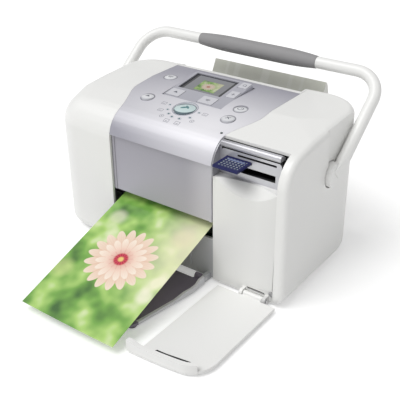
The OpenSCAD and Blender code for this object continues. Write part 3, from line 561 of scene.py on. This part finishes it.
class PRINTER_OT_case(Operator):
    """Dress the white shells, the underside and the rear of the case"""
    bl_idname = "printer.case"
    bl_label = "Case"

    def execute(self, context):
        shell = moulded("shell_white", hue("shell"), 0.36, 0.10, 0.012, coat_weight=0.12, coat_roughness=0.25)
        for node in ("left_side_shell", "right_side_shell", "rear_housing", "cartridge_door"):
            dress(node, shell)
        dress("bottom_case", moulded("underside_grey", hue("underside"), 0.55, 0.2))
        dress("rubber_feet", moulded("foot_rubber", rgb(52, 52, 54), 0.8, 0.4, 0.08), 0.0004)
        dress("case_screws", metal("screw_steel", (0.62, 0.61, 0.6), 0.32, True))
        dress("hinge_pins", metal("pin_steel", (0.66, 0.66, 0.67), 0.25, True))
        dress("dc_inlet", moulded("socket_black", rgb(34, 34, 36), 0.5, 0.2))
        dress("usb_port", metal("socket_steel", (0.7, 0.7, 0.72), 0.3))
        return {"FINISHED"}


def silver_cover():
    """Pearly lacquer with a painted highlight at the lip and painted shade below it, with the wells of the
    keys and painted shade round them, and the printed marks.
    """
    cover = Finish("silver_cover", metallic=0.12, coat_weight=0.06, coat_roughness=0.3)
    flake = cover.noise(5200.0, 0.0)
    # the painted highlight fades away from its palest point, fastest up and down, and painted shade below the
    # lip darkens it more to the left
    palest = (0.035, -0.058, 0.138)
    x, y, z = cover.place(palest)
    reach = (x * x * 0.38 + y * y * 1.3 + z * z * 5.0).sqrt() / 0.110
    under_lip_shade = z.below(-0.011, 0.006) * (0.015 - x).most(0.0) * 3.6
    tone = cover.mix(reach + under_lip_shade + (flake - 0.5) * 0.06, hue("lip_highlight"), hue("silver"))

    x, y, z = cover.place()
    wells = 0.0
    shade = 0.0
    for node in SMALL_KEYS:
        key_x, key_y = centre(node)
        a, b = x - key_x * MM, y - key_y * MM
        wells = disc(a, b, WELL_RADIUS, 1.5e-4) + wells
        shade = ring(a, b, SHADE_RADIUS, 0.0007, 1.2e-4) + shade
    groove = ring(x - PRINT_KEY[0] * MM, y - PRINT_KEY[1] * MM, GROOVE_RADIUS, 0.0006, 1e-4)
    tone = cover.mix(shade * 0.6, tone, rgb(112, 112, 124))
    # without a lower limit the marks would run down the cover's front
    marks = mode_marks(x, y) * z.above(0.125)
    tone = cover.mix(marks * 0.75, tone, rgb(120, 121, 134))
    cover.set(base_color=tone, roughness=flake * 0.12 + 0.38,
              normal=cover.bump(cover.noise(3000.0, 1.0) * 0.15 - wells - groove, 0.35, 0.00012))
    return cover


def bay_silver():
    """Smooth silver of the card bay, with painted shade at its left end by the cover and painted near black
    inside its slots.
    """
    bay = Finish("bay_silver", metallic=0.35)
    x, y, z = bay.place()
    front, low, high = -0.0698, 0.107, 0.129
    # painted shade: the walls behind the slots' front face are painted near black
    inside = y.above(front, 1e-4) * z.below(high, 4e-4) * z.above(low, 4e-4)
    # painted shade: darker towards the left end of the bay
    silver = bay.mix(x.below(0.070, 0.014) * 0.55, rgb(206, 206, 211), rgb(120, 120, 126))
    bay.set(base_color=bay.mix(inside * 0.9, silver, rgb(24, 24, 26)),
            roughness=bay.gloss(300.0, 0.1, 0.28), normal=bay.grain(0.06))
    return bay


def front_panel_silver():
    """Silver with painted shade that deepens upwards, and a paler band on the right."""
    panel = Finish("front_panel_silver", metallic=0.3)
    x, _, z = panel.place()
    low, height = 0.060, 0.055
    # painted shade: lighter at the bottom, darker towards the top
    tone = panel.mix((z - low) / height, scaled(hue("front"), 1.1), scaled(hue("front"), 0.9))
    tone = panel.mix(x.above(0.038, 0.014) * 0.55, tone, rgb(214, 213, 219))
    panel.set(base_color=tone, roughness=panel.noise(4000.0, 0.0) * 0.12 + 0.38, normal=panel.grain(0.1))
    return panel


def scoop_white():
    """White plastic with painted shade in the finger scoop under the card bay."""
    scoop = Finish("bay_white", coat_weight=0.1, coat_roughness=0.3)
    x, y, _ = scoop.place()
    # painted shade: darker further back in the scoop and towards its left
    behind = (y + 0.0778) / 0.0052
    leftwards = (0.100 - x) / 0.035
    scoop_shade = (behind * leftwards).most(0.0).least(0.75)
    white = scoop.mix(scoop.noise(9.0, 3.0) * 0.04, hue("shell"), rgb(200, 200, 200))
    scoop.set(base_color=scoop.mix(scoop_shade, white, rgb(150, 150, 152)),
              roughness=scoop.gloss(60.0, 0.1, 0.34), normal=scoop.grain(0.08))
    return scoop


class PRINTER_OT_front(Operator):
    """Dress the silver cover and the panels of the front"""
    bl_idname = "printer.front"
    bl_label = "Front"

    def execute(self, context):
        dress("top_cover", silver_cover())
        rim = moulded("frame_silver", rgb(186, 186, 195), 0.34, 0.06, 0.02, metallic=0.2)
        dress("lcd_frame", rim, 0.0002)
        dress("card_bay_bezel", bay_silver())
        dress("front_panel", front_panel_silver(), 0.0002)
        dress("lower_front_wall", moulded("lower_wall_grey", rgb(196, 197, 200), 0.5, 0.16), 0.0002)
        dress("right_front_panel", scoop_white(), 0.0003)
        dress("door_screw", metal("small_screw", (0.55, 0.55, 0.56), 0.35, True))
        return {"FINISHED"}


# ---------------------------------------------------------------- keys and dots on the cover


def small_key_finish(node, mark):
    """Pale key with a grey rim and its mark on top."""
    key_x, key_y = centre(node)
    key = Finish("key_" + node, coat_weight=0.25, coat_roughness=0.2)
    x, y, z = key.place((key_x * MM, key_y * MM, 0))
    ink = mark(x, y, KEY_MARK) * z.above(top_height(key_y) * MM)
    rim = (x * x + y * y).sqrt().above(KEY_RIM, 4e-4)
    base = key.mix(rim * 0.4, rgb(226, 227, 230), rgb(168, 169, 178))
    key.set(base_color=key.mix(ink, base, rgb(96, 98, 110)),
            roughness=key.gloss(300.0, 0.1, 0.3), normal=key.grain(0.1, ink, 2400.0))
    return key


def print_key_finish():
    """Glossy pale green key with a dark rim and two leaves."""
    key = Finish("key_print", coat_weight=0.5, coat_roughness=0.12)
    x, y, z = key.place((PRINT_KEY[0] * MM, PRINT_KEY[1] * MM, 0))
    upper = z.above(top_height(PRINT_KEY[1]) * MM)
    rim = (x * x + y * y).sqrt().above(PRINT_RIM, 2e-4)
    a, b = diagonals(x, y)
    leaves = ellipse(a + 0.0006, b, 0.0036, 0.0017).most(ellipse(a - 0.0022, b, 0.0013, 0.0034))
    base = key.mix(rim, hue("print_key"), rgb(104, 124, 132))
    key.set(base_color=key.mix(leaves * upper, base, rgb(70, 128, 132)),
            roughness=key.gloss(200.0, 0.08, 0.2), normal=key.bump(key.noise(1800.0, 1.0), 0.06, 0.00005))
    return key


def add_mode_dots():
    """A pale ring with a dark point in it at each place for a dot."""
    pale = moulded("dot_grey", rgb(206, 207, 214), 0.35, 0.08).material
    ink = moulded("dot_ink", rgb(70, 112, 118), 0.4, 0.08).material
    relief = sizes().print_relief
    for i, (dot_x, dot_y) in enumerate(DOTS):
        place = (dot_x * MM, dot_y * MM, top_height(dot_y) * MM + relief * 0.5)
        turn = top_turn(dot_y)
        pad = add_ring(RING_OUTER, RING_INNER, relief * 2, place, turn, 32)
        settle(pad, f"mode_ring_{i}", "case", pale)
        core = add_disc(DOT_RADIUS, relief * 2.2, place, turn, 24)
        settle(soften(core, relief * 0.4), f"mode_dot_{i}", "case", ink)


def add_print_collar():
    place = (PRINT_KEY[0] * MM, PRINT_KEY[1] * MM, top_height(PRINT_KEY[1]) * MM + 0.0001)
    collar = add_ring(COLLAR_OUTER, COLLAR_INNER, 0.0006, place, top_turn(PRINT_KEY[1]), 96)
    silver = moulded("collar_silver", rgb(196, 198, 208), 0.25, 0.05, metallic=0.4).material
    settle(collar, "print_button_collar", "case", silver)


class PRINTER_OT_controls(Operator):
    """Make the buttons' finishes, the dots round the print button and the status lamp"""
    bl_idname = "printer.controls"
    bl_label = "Controls"

    def execute(self, context):
        for node, mark in SMALL_KEYS.items():
            dress(node, small_key_finish(node, mark), 0.0003)
        dress("print_button", print_key_finish(), 0.0003)

        lamp = Finish("lamp_lens", roughness=0.12, coat_weight=0.6)
        lens_x, lens_y = centre("status_lens")
        x, y, _ = lamp.place((lens_x * MM, lens_y * MM, 0))
        lamp.set(base_color=lamp.mix(disc(x, y, 0.0009, 3e-4), rgb(40, 46, 46), rgb(70, 96, 84)))
        dress("status_lens", lamp)

        add_mode_dots()
        add_print_collar()
        return {"FINISHED"}


# ---------------------------------------------------------------- display

# at rest the display leans back from its front edge, and its patterns are laid out from there
DISPLAY_LEAN = math.radians(7.8)
DISPLAY_FRONT = (0, -0.027, 0.1402)
# millimetres along the display, mark and the mark's radius in metres
DISPLAY_KEYS = {
    "menu_key_left": (7.0, arrow_mark, 0.0024),
    "menu_key_right": (7.0, list_mark, 0.0022),
    "zoom_key_front": (26.0, plus_mark, 0.0020),
    "zoom_key_rear": (45.2, loupe_mark, 0.0016),
}


def on_display(finish):
    return finish.place(DISPLAY_FRONT, (-DISPLAY_LEAN, 0, 0))


def display_glass():
    """Black border, grey field and a small lit picture."""
    glass = Finish("display_glass", coat_weight=1.0, coat_roughness=0.03, roughness=0.12)
    x, y, _ = on_display(glass)
    u, v = x - centre("lcd_screen")[0] * MM, y - 0.0332
    field = bar(u, v, 0.0196, 0.0146, 1e-4)
    # the picture sits a little to the right and front of the field's middle
    u, v = u - 0.0012, v + 0.0018
    half_x, half_y = 0.0112, 0.0092
    shown = bar(u, v, half_x, half_y, 2e-4)
    lit = glass.mix(0.45, flower(glass, u / half_x, v / half_y), rgb(44, 62, 12))
    picture = glass.mix(shown, rgb(128, 129, 134), lit)
    glass.set(base_color=glass.mix(field, rgb(30, 31, 36), picture),
              emission_color=glass.mix(shown * field, (0, 0, 0), picture), emission_strength=0.12)
    return glass


def display_key_finish(node, along, mark, radius):
    key = Finish("key_" + node, coat_weight=0.2, coat_roughness=0.25)
    x, y, z = on_display(key)
    ink = mark(x - centre(node)[0] * MM, y - along * MM, radius) * z.above(0.0)
    key.set(base_color=key.mix(ink, rgb(208, 208, 214), rgb(84, 86, 98)),
            roughness=key.gloss(300.0, 0.1, 0.34), normal=key.grain(0.1, scale=2400.0))
    return key


class PRINTER_OT_display(Operator):
    """Make the display's glass with a small picture, and its keys"""
    bl_idname = "printer.display"
    bl_label = "Display"

    def execute(self, context):
        dress("lcd_screen", display_glass())
        for node, (along, mark, radius) in DISPLAY_KEYS.items():
            dress(node, display_key_finish(node, along, mark, radius), 0.0005)
        return {"FINISHED"}


# ---------------------------------------------------------------- card bay, door and tray


class PRINTER_OT_card_bay(Operator):
    """Dress the card reader and make the memory card's label"""
    bl_idname = "printer.card_bay"
    bl_label = "Card bay"

    def execute(self, context):
        dress("card_reader", moulded("reader_black", rgb(18, 18, 21), 0.5, 0.2))
        low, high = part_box("memory_card")
        card = Finish("card_blue", specular_ior_level=0.3)
        half_card = (high[0] - low[0]) / 2
        x, y, z = card.place((low[0] + half_card, low[1], high[2]))
        label = bar(x, y - 0.0105, half_card - 0.0022, 0.0080, 8e-5) * z.above(-0.0006)
        # rows of small checks, with a pale bar behind them
        check = ((x + half_card) * 2100.0).sin().above(0.1, 0.3) * (y * 1900.0).sin().above(0.1, 0.3)
        stripe = bar(x, y - 0.0165, 0.0080, 0.0011, 8e-5)
        paper = card.mix(check * 0.65, rgb(30, 36, 84), rgb(196, 208, 206))
        paper = card.mix(stripe, paper, rgb(120, 132, 168))
        card.set(base_color=card.mix(label, hue("card"), paper),
                 roughness=card.gloss(250.0, 0.1, 0.38), normal=card.grain(0.14, label))
        dress("memory_card", card, 0.0002)
        return {"FINISHED"}


class PRINTER_OT_card_door(Operator):
    """Dress the card door, with painted shade inside its latch slot"""
    bl_idname = "printer.card_door"
    bl_label = "Card door"

    def execute(self, context):
        door = Finish("door_white", coat_weight=0.12, coat_roughness=0.25)
        x, y, z = door.place()
        slot_x, slot_y, slot_low, slot_high = 0.0917, -0.1847, 0.0030, 0.00485
        # painted shade: the latch slot's walls are painted dark
        slot = bar(x - slot_x, y - slot_y, 0.0178, 0.0048)
        slot = slot * z.below(slot_high, 4e-5) * z.above(slot_low, 4e-5)
        white = door.mix(door.noise(9.0, 3.0) * 0.04, hue("shell"), rgb(204, 204, 204))
        door.set(base_color=door.mix(slot, white, rgb(46, 46, 48)),
                 roughness=door.gloss(60.0, 0.1, 0.34), normal=door.grain(0.08))
        dress("card_door", door, 0.0004)
        return {"FINISHED"}


class PRINTER_OT_output_tray(Operator):
    """Dress the output tray: dark ribbed floor, light rim and light underside"""
    bl_idname = "printer.output_tray"
    bl_label = "Output tray"

    def execute(self, context):
        tray = Finish("tray_two_tone")
        x, y, z = tray.place()
        # the floor is even from the hinge to its waist and narrows from there to its end
        waist, end, half_width, taper = -0.106, -0.1665, 0.0511, 0.1664
        half_floor = (y - waist).least(0.0) * taper + half_width
        rim = (x.abs() - half_floor).above(0.0, 1e-4) * y.above(end, 2e-4)
        rib = (x * 760.0).sin() * 0.5 + 0.5
        under = z.below(0.0020, 5e-5)
        tone = tray.mix(rim, hue("tray_floor"), rgb(222, 221, 224))
        relief = tray.noise(2400.0, 1.0) * 0.2 + rib * (1.0 - rim) * (1.0 - under)
        tray.set(base_color=tray.mix(under, tone, rgb(206, 206, 212)),
                 roughness=tray.gloss(60.0, 0.12, 0.42), normal=tray.bump(relief, 0.25, 0.0003))
        dress("output_tray", tray, 0.0003)
        dress("tray_feet", moulded("tray_foot_rubber", rgb(44, 44, 46), 0.75, 0.3))
        return {"FINISHED"}


# ---------------------------------------------------------------- printed sheet

SHEET_SLOPE = math.radians(18.68)
SHEET_THICK = 0.00026
SHEET_CELLS = (24, 36)
SHEET_BACK, SHEET_LIFT = 0.00018, 0.00002  # a shift that keeps its thickness inside the frame


def lay_sheet(mesh, low, high):
    """Maps a flat grid of size 1, then slopes it between two corners. Its sides curl up at the front."""
    length = (high[1] - low[1]) / math.cos(SHEET_SLOPE)
    uv = mesh.uv_layers.active or mesh.uv_layers.new(name="UVMap")
    for loop in mesh.loops:
        px, py, _ = mesh.vertices[loop.vertex_index].co
        uv.data[loop.index].uv = (px + 0.5, py + 0.5)
    for vertex in mesh.vertices:
        px, py, _ = vertex.co
        along = (py + 0.5) * length
        rise = sizes().sheet_curl * (abs(px) * 2) ** 2 * (1 - along / length)
        vertex.co = Vector((px * (high[0] - low[0]),
                            low[1] + along * math.cos(SHEET_SLOPE) + SHEET_BACK,
                            low[2] + along * math.sin(SHEET_SLOPE) + rise + SHEET_LIFT))


class PRINTER_OT_print(Operator):
    """Make the printed sheet that lies in the exit slot"""
    bl_idname = "printer.print"
    bl_label = "Print"

    def execute(self, context):
        low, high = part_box("photo_sheet")
        bpy.ops.object.select_all(action="DESELECT")
        bpy.ops.mesh.primitive_grid_add(
            x_subdivisions=SHEET_CELLS[0], y_subdivisions=SHEET_CELLS[1], size=1, location=(0, 0, 0))
        obj = bpy.context.object
        lay_sheet(obj.data, low, high)
        wall = obj.modifiers.new("wall", "SOLIDIFY")
        wall.thickness = SHEET_THICK
        wall.offset = 1.0
        apply_all(obj)
        paper = Finish("printed_sheet", coat_weight=0.6, coat_roughness=0.12, roughness=0.35)
        u, v = paper.uv()
        picture = flower(paper, (u - 0.5) * 2.0, (v - 0.5) * 3.0)
        paper.set(base_color=picture, normal=paper.bump(paper.noise(1600.0), 0.03, 0.00004))
        settle(obj, "print", "case", paper.material)
        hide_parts("photo_sheet")
        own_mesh(obj)
        return {"FINISHED"}


# ---------------------------------------------------------------- handle, support and mechanism


class PRINTER_OT_handle(Operator):
    """Dress the handle, its soft grip and its pivots"""
    bl_idname = "printer.handle"
    bl_label = "Handle"

    def execute(self, context):
        white = moulded("handle_white", hue("shell"), 0.36, 0.08, 0.012,
                        coat_weight=0.15, coat_roughness=0.25)
        dress("handle_bar", white, 0.0003)
        grip = Finish("soft_grip", sheen_weight=0.15, sheen_roughness=0.4)
        mottle = grip.noise(40.0, 3.0)
        grip.set(base_color=grip.mix(mottle, scaled(hue("grip"), 0.9), scaled(hue("grip"), 1.06)),
                 roughness=grip.gloss(120.0, 0.15, 0.6),
                 normal=grip.bump(grip.noise(3200.0, 1.0), 0.3, 0.00008))
        dress("handle_grip", grip, 0.0003)
        dress("handle_pivots", moulded("pivot_cap", rgb(222, 222, 222), 0.4, 0.08))
        return {"FINISHED"}


SUPPORT_RIBS = ((-0.048, 0.0016), (-0.036, 0.0030), (-0.002, 0.0044), (0.027, 0.0022), (0.040, 0.0016))


class PRINTER_OT_paper_support(Operator):
    """Dress the smoky paper support and its edge guide"""
    bl_idname = "printer.paper_support"
    bl_label = "Paper support"

    def execute(self, context):
        smoke = Finish("smoky_support", transmission_weight=0.1)
        x, _, _ = smoke.place()
        ribs = 0.0
        for middle, half_width in SUPPORT_RIBS:
            ribs = (x - middle).abs().below(half_width, 0.0012) + ribs
        tone = smoke.mix(smoke.noise(26.0, 3.0), scaled(hue("support"), 0.82), scaled(hue("support"), 1.08))
        tone = smoke.mix(ribs * 0.55, tone, rgb(232, 233, 226))
        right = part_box("paper_support")[1][0]
        side = x.abs().above(right - 0.0002, 2e-4)
        smoke.set(base_color=smoke.mix(side * 0.7, tone, rgb(236, 236, 232)),
                  roughness=smoke.gloss(200.0, 0.1, 0.3), normal=smoke.grain(0.08))
        dress("paper_support", smoke, 0.0003)
        dress("edge_guide", moulded("guide_grey", rgb(188, 190, 186), 0.42, 0.1), 0.0002)
        dress("hopper_guide", moulded("hopper_grey", rgb(120, 120, 122), 0.5, 0.2))
        return {"FINISHED"}


class PRINTER_OT_mechanism(Operator):
    """Dress the rollers, gears, carriage, boards and frame inside the case"""
    bl_idname = "printer.mechanism"
    bl_label = "Mechanism"

    def execute(self, context):
        steel = metal("shaft_steel", (0.66, 0.66, 0.67), 0.22, True)
        sheet = metal("zinc_sheet", (0.7, 0.71, 0.72), 0.4)
        rubber = moulded("roller_rubber", rgb(44, 44, 46), 0.75, 0.35)
        black = moulded("inner_black", rgb(50, 50, 54), 0.5, 0.2)
        board = moulded("board_green", rgb(28, 96, 60), 0.35, 0.1)
        for node in ("guide_shaft", "star_wheels", "drive_pulley", "idler_pulley", "carriage_motor",
                     "feed_motor"):
            dress(node, steel)
        dress("chassis_frame", sheet)
        for node in ("feed_roller", "exit_roller", "pickup_roller", "timing_belt"):
            dress(node, rubber)
        for node in ("carriage", "platen", "ink_cartridge"):
            dress(node, black)
        dress("capping_station", moulded("station_grey", rgb(196, 196, 198), 0.5, 0.15))
        dress("idler_gear", moulded("gear_nylon", rgb(232, 228, 214), 0.4, 0.1))
        dress("motor_pinion", metal("pinion_brass", (0.78, 0.6, 0.28), 0.3))
        dress("encoder_strip", moulded("strip_film", rgb(196, 200, 204), 0.2, 0.04))
        for node in ("main_board", "control_board"):
            dress(node, board)
        return {"FINISHED"}


# ---------------------------------------------------------------- stage

CAMERA_AIM = (-0.00057, -0.020, 0.03976)
CAMERA_DISTANCE = 0.71794
CAMERA_AZIMUTH = math.radians(36.57)  # to the right of the front
CAMERA_HEIGHT = math.radians(28.77)
CAMERA_ROLL = math.radians(-0.62)


def add_floor():
    """A pale floor that looks white past the object and keeps its shadow."""
    bpy.ops.object.select_all(action="DESELECT")
    bpy.ops.mesh.primitive_plane_add(size=sizes().floor_size, location=(0, 0, -0.0002))
    floor = bpy.context.object
    floor.name = "studio_floor"
    paper = Finish("floor_paper", roughness=0.9, specular_ior_level=0.1, base_color=(0.86, 0.86, 0.86))
    glow = paper.node("ShaderNodeEmission", None, {"Color": (1, 1, 1, 1), "Strength": 0.32})[0]
    lit = paper.node("ShaderNodeAddShader", None, {0: paper.surface, 1: glow})[0]
    seen = paper.rays("Is Camera Ray", "Is Glossy Ray")
    paper.feed(paper.out.inputs["Surface"],
               paper.node("ShaderNodeMixShader", None, {0: seen, 1: paper.surface, 2: lit})[0])
    floor.data.materials.append(paper.material)


def set_sky(scene):
    """A white sky behind the object, which lights it at less than half of that."""
    scene.world = bpy.data.worlds.new("studio")
    sky = Shader(scene.world)
    seen = sky.rays("Is Camera Ray", "Is Transmission Ray")
    strength = sky.node("ShaderNodeMapRange", None, {"Value": seen, "To Min": 0.424, "To Max": 1.0})[0]
    light = sky.node("ShaderNodeBackground", None, {"Color": (1, 1, 1, 1), "Strength": strength})[0]
    sky.add("ShaderNodeOutputWorld", None, {"Surface": light})


def add_lamp(scene, name, way, strength, spread):
    """A sun that shines from the given way, with its spread in degrees."""
    lamp = bpy.data.lights.new(name, "SUN")
    lamp.energy = strength
    lamp.angle = math.radians(spread)
    obj = bpy.data.objects.new(name, lamp)
    scene.collection.objects.link(obj)
    obj.rotation_euler = Vector(way).to_track_quat("Z", "Y").to_euler()


def add_camera(scene):
    camera = bpy.data.cameras.new("camera")
    camera.sensor_width = 36
    camera.lens = 67.49
    camera.shift_x = -0.0014
    camera.shift_y = -0.0049
    camera.clip_end = 50
    obj = bpy.data.objects.new("camera", camera)
    scene.collection.objects.link(obj)
    back = Vector((math.sin(CAMERA_AZIMUTH) * math.cos(CAMERA_HEIGHT),
                   -math.cos(CAMERA_AZIMUTH) * math.cos(CAMERA_HEIGHT), math.sin(CAMERA_HEIGHT)))
    level = (-back).cross(Vector((0, 0, 1))).normalized()
    over = level.cross(-back)
    right = level * math.cos(CAMERA_ROLL) + over * math.sin(CAMERA_ROLL)
    up = over * math.cos(CAMERA_ROLL) - level * math.sin(CAMERA_ROLL)
    turn = Matrix((right, up, back)).transposed().to_4x4()
    obj.matrix_world = Matrix.Translation(Vector(CAMERA_AIM) + back * CAMERA_DISTANCE) @ turn
    scene.camera = obj


class PRINTER_OT_stage(Operator):
    """Set the floor, the sky, the lamps and the camera"""
    bl_idname = "printer.stage"
    bl_label = "Stage"

    def execute(self, context):
        scene = context.scene
        scene.view_settings.view_transform = "Standard"
        add_floor()
        set_sky(scene)
        add_lamp(scene, "key_light", (-0.30, -0.42, 1.0), 1.70, 40)
        add_lamp(scene, "fill_light", (0.2, -1.0, 0.5), 0.30, 60)
        add_camera(scene)
        return {"FINISHED"}


# ---------------------------------------------------------------- add-on

STEPS = (PRINTER_OT_stage, PRINTER_OT_case, PRINTER_OT_front, PRINTER_OT_controls, PRINTER_OT_display,
         PRINTER_OT_card_bay, PRINTER_OT_card_door, PRINTER_OT_output_tray, PRINTER_OT_print,
         PRINTER_OT_handle, PRINTER_OT_paper_support, PRINTER_OT_mechanism)


class PRINTER_PT_panel(Panel):
    bl_label = "Photo Printer"
    bl_idname = "PRINTER_PT_panel"
    bl_space_type = "VIEW_3D"
    bl_region_type = "UI"
    bl_category = "Printer"

    def draw(self, context):
        layout = self.layout
        for group in (context.scene.printer_sizes, context.scene.printer_colours):
            for name in group.__annotations__:
                layout.prop(group, name)
        for step in STEPS:
            layout.operator(step.bl_idname)


CLASSES = (PrinterSizes, PrinterColours, *STEPS, PRINTER_PT_panel)


def register():
    for made in CLASSES:
        bpy.utils.register_class(made)
    bpy.types.Scene.printer_sizes = PointerProperty(type=PrinterSizes)
    bpy.types.Scene.printer_colours = PointerProperty(type=PrinterColours)


def unregister():
    del bpy.types.Scene.printer_colours
    del bpy.types.Scene.printer_sizes
    for made in reversed(CLASSES):
        bpy.utils.unregister_class(made)


def main():
    register()
    for step in STEPS:
        group, name = step.bl_idname.split(".")
        getattr(getattr(bpy.ops, group), name)()


if __name__ == "__main__":
    main()
